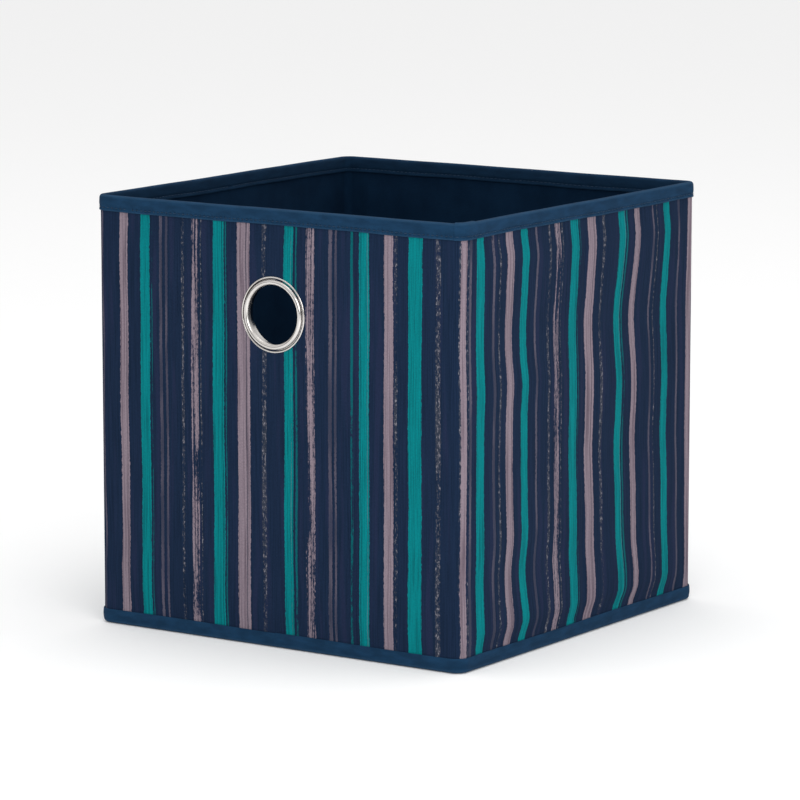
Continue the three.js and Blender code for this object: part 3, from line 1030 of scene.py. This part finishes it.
MATERIALS = {
    "printed_cloth": printed_cloth(),
    "lining_cloth": lining_cloth(),
    "binding_tape": binding_tape(),
    "bright_ring": bright_ring(),
    "chipboard": chipboard(),
}
THREAD = thread()


def dress(obj, slot):
    """Gives a piece the material of its slot."""
    obj.data.materials.clear()
    obj.data.materials.append(MATERIALS[slot])


def replaced_nodes(strip, kind):
    """The CAD nodes of one kind that a strip stands for."""
    return [f"{body}_{kind}" for body in STANDS_FOR[strip]]


def build_walls():
    for strip in STRIPS:
        cover = build_cover(strip)
        dress(cover, "printed_cloth")
        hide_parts(*replaced_nodes(strip, "cover"))
        lining = build_lining(strip)
        dress(lining, "lining_cloth")
        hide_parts(*replaced_nodes(strip, "lining"))
        rim = build_rim(strip)
        dress(rim, "binding_tape")
        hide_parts(*replaced_nodes(strip, "rim_binding"))
        outside = stitch_row(f"rim_stitches_outside_{strip}", strip, 0.0, 1)
        inside = stitch_row(f"rim_stitches_inside_{strip}", strip, RIM_THICKNESS, -1)
        for row in (outside, inside):
            row.data.materials.append(THREAD)
        for piece in (cover, lining, rim, outside, inside):
            bend(piece)
    join = build_rim_join()
    dress(join, "binding_tape")
    bend(join)


def build_bottom():
    """The bottom's cloth, a thin sheet with a faint sag, and the tape round the bin's foot, both
    carried by the front body."""
    low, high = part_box("bottom_cloth")

    def sag(x, y):
        return 0.12 * MM * wave(x, 83 * MM, wave(y, 97 * MM)) * wave(y, 71 * MM)

    cloth = rounded_square("bottom_cloth_sheet", high.x, RADIUS - COVER_INSET, low.z, high.z,
                           cell=6 * MM, relief=sag)
    dress(cloth, "lining_cloth")
    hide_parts("bottom_cloth")
    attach(cloth, "front")
    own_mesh(cloth)
    tape = build_bottom_binding()
    dress(tape, "binding_tape")
    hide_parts("bottom_binding")
    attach(tape, "front")
    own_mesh(tape)


def build_insert():
    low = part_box("insert_under_cloth")[0]
    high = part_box("insert_top_cloth")[1]

    def soft(x, y):
        inside = high.x - np.maximum(np.abs(x), np.abs(y))
        lift = 0.10 * MM * wave(x, 91 * MM, 1.2) * wave(y, 77 * MM, 0.3)
        seam = -0.30 * MM * bell(inside - 7 * MM, 1.1 * MM)
        return lift * ease(inside, 20 * MM) + seam

    obj = rounded_square("insert_cloth", high.x, 4 * MM, low.z, high.z,
                         cell=2.2 * MM, relief=soft, edge_round=1.6 * MM)
    dress(obj, "lining_cloth")
    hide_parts("insert_top_cloth", "insert_under_cloth")
    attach(obj, "insert")


def build_grommet():
    for ring in (build_face_ring(), build_back_ring()):
        dress(ring, "bright_ring")


def dress_boards():
    for name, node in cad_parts.items():
        if name.endswith("_board"):
            node.data.materials.clear()
            node.data.materials.append(MATERIALS["chipboard"])


# ---------------------------------------------------------------- stage

# The floor lies a hair below the bin's foot, so that the two never share a face
FLOOR_HALF = 12
FLOOR_GAP = 0.3 * MM

# Name, place, size and power of each light, and the height they face
LIGHTS = [("key", (0.66, -0.70, 0.56), 0.50, 2.9), ("overhead", (0.2, 0.3, 2.6), 2.2, 16)]
LIGHTS_AIM = 0.14

# The studio's brightness: the rise of a direction where it starts and stops growing, and its
# strength there
SKY = (0.03, 0.45, 0.20, 0.86)

# The camera's lens in millimetres and its distance from the bin's axis, its azimuth and its height
LENS = 200
CAMERA_DISTANCE = 2.844
CAMERA_AZIMUTH = 34.17
CAMERA_HEIGHT = 0.604


def aim(obj, target):
    obj.rotation_euler = (Vector(target) - obj.location).to_track_quat("-Z", "Y").to_euler()


def area_light(name, place, size, power):
    """A white light that faces the middle of the bin."""
    data = bpy.data.lights.new(name, "AREA")
    data.shape = "RECTANGLE"
    data.size = data.size_y = size
    data.energy = power
    light = bpy.data.objects.new(name, data)
    light.location = place
    bpy.context.scene.collection.objects.link(light)
    aim(light, (0, 0, LIGHTS_AIM))


def build_stage():
    mesh = bpy.data.meshes.new("floor")
    corners = [(-FLOOR_HALF, -FLOOR_HALF, 0), (FLOOR_HALF, -FLOOR_HALF, 0),
               (FLOOR_HALF, FLOOR_HALF, 0), (-FLOOR_HALF, FLOOR_HALF, 0)]
    mesh.from_pydata(corners, [], [(0, 1, 2, 3)])
    floor = bpy.data.objects.new("floor", mesh)
    floor.location.z = -FLOOR_GAP
    bpy.context.scene.collection.objects.link(floor)
    mesh.materials.append(floor_paper())
    build_world()
    for light in LIGHTS:
        area_light(*light)


def build_world():
    """A white studio that is bright overhead and dimmer towards the horizon."""
    world = bpy.data.worlds.new("studio")
    bpy.context.scene.world = world
    world.use_nodes = True
    tree = world.node_tree
    direction = tree.nodes.new("ShaderNodeTexCoord").outputs["Generated"]
    split = tree.nodes.new("ShaderNodeSeparateXYZ")
    rise = tree.nodes.new("ShaderNodeMapRange")
    rise.interpolation_type = "SMOOTHSTEP"
    for socket, value in zip(rise.inputs[1:5], SKY):
        socket.default_value = value
    tree.links.new(direction, split.inputs[0])
    tree.links.new(split.outputs["Z"], rise.inputs[0])
    background = tree.nodes["Background"]
    background.inputs["Color"].default_value = (1, 1, 1, 1)
    tree.links.new(rise.outputs[0], background.inputs["Strength"])


def build_camera():
    """The photograph's view of the bin: from the front right, a little above it."""
    data = bpy.data.cameras.new("camera")
    data.lens = LENS
    data.sensor_width = 36
    camera = bpy.data.objects.new("camera", data)
    bpy.context.scene.collection.objects.link(camera)
    azimuth = math.radians(CAMERA_AZIMUTH)
    camera.location = (CAMERA_DISTANCE * math.sin(azimuth), -CAMERA_DISTANCE * math.cos(azimuth),
                       CAMERA_HEIGHT)
    aim(camera, (0, 0, TOP / 2))
    bpy.context.scene.camera = camera


build_stage()
build_camera()
build_walls()
build_bottom()
build_insert()
build_grommet()
dress_boards()
bpy.context.scene.view_settings.view_transform = "Standard"
